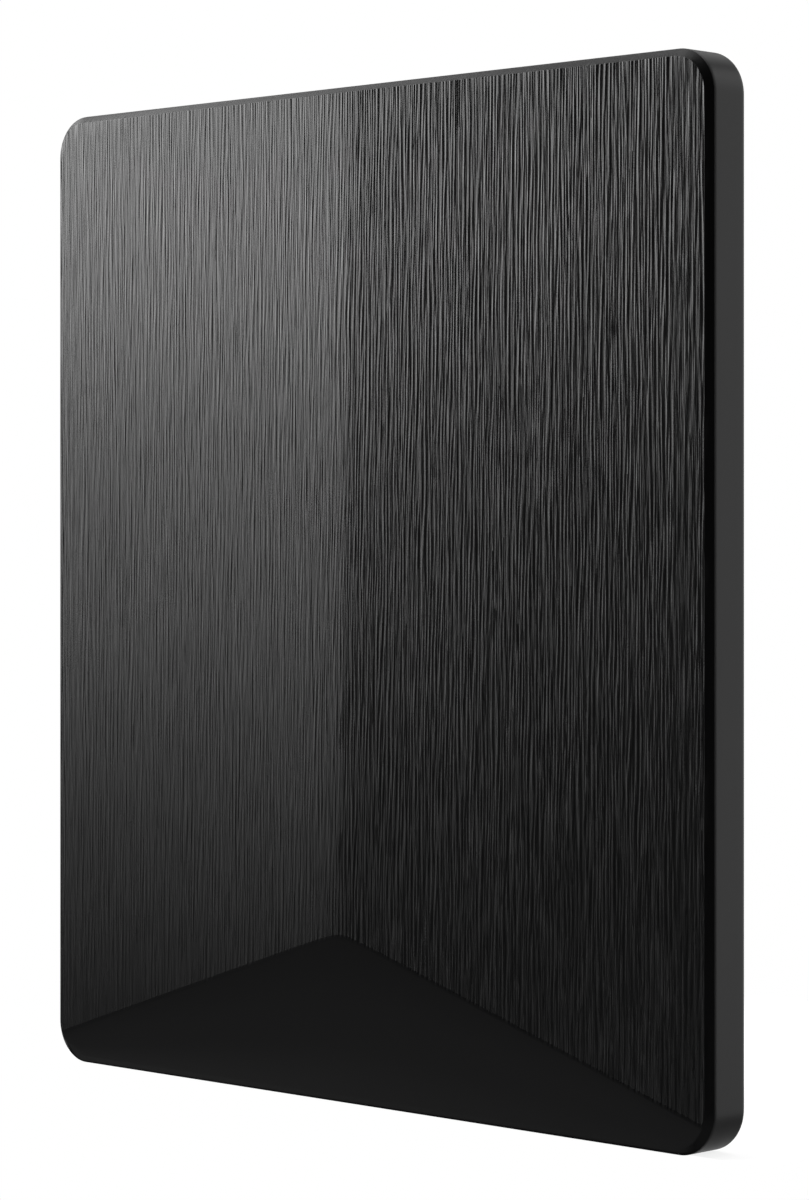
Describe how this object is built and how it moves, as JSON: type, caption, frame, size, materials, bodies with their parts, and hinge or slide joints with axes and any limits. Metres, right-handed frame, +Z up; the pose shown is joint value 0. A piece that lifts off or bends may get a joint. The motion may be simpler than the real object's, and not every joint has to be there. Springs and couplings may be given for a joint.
{
  "type": "indoor television antenna",
  "caption": "Slim upright panel antenna in black plastic: shallow roofed front with fine upright ribbing and a plain lower facet, coaxial socket in a bay at the back, keyholes for a wall.",
  "frame": {"origin": "middle of the box at its underside, on the surface that the panel stands on", "axes": "+Z up the panel, -Y out of its front, +X to the right as seen from the front"},
  "size_m": [0.197, 0.0154, 0.22],
  "materials": {
    "case_front": "black moulded plastic, fine upright ribbing on two facets, satin elsewhere",
    "case_rear": "black moulded plastic, fine spark texture",
    "screw_steel": "black zinc plated steel",
    "arm_sheet": "rolled sheet",
    "rivet_brass": "tinned brass",
    "board_laminate": "green lacquered glass laminate",
    "core_ferrite": "sintered ferrite",
    "winding_wire": "enamelled copper wire",
    "socket_metal": "nickel plated brass",
    "socket_plastic": "natural white plastic",
    "contact_brass": "spring bronze"
  },
  "bodies": {
    "root": {"front_cover": "case_front", "rear_cover": "case_rear", "case_screws": "screw_steel", "radiator_left": "arm_sheet", "radiator_right": "arm_sheet", "feed_rivets": "rivet_brass", "balun_board": "board_laminate", "board_screws": "screw_steel", "balun_core": "core_ferrite", "balun_primary": "winding_wire", "balun_secondary": "winding_wire", "socket_body": "socket_metal", "socket_insulator": "socket_plastic", "socket_contact": "contact_brass"}
  },
  "joints": []
}
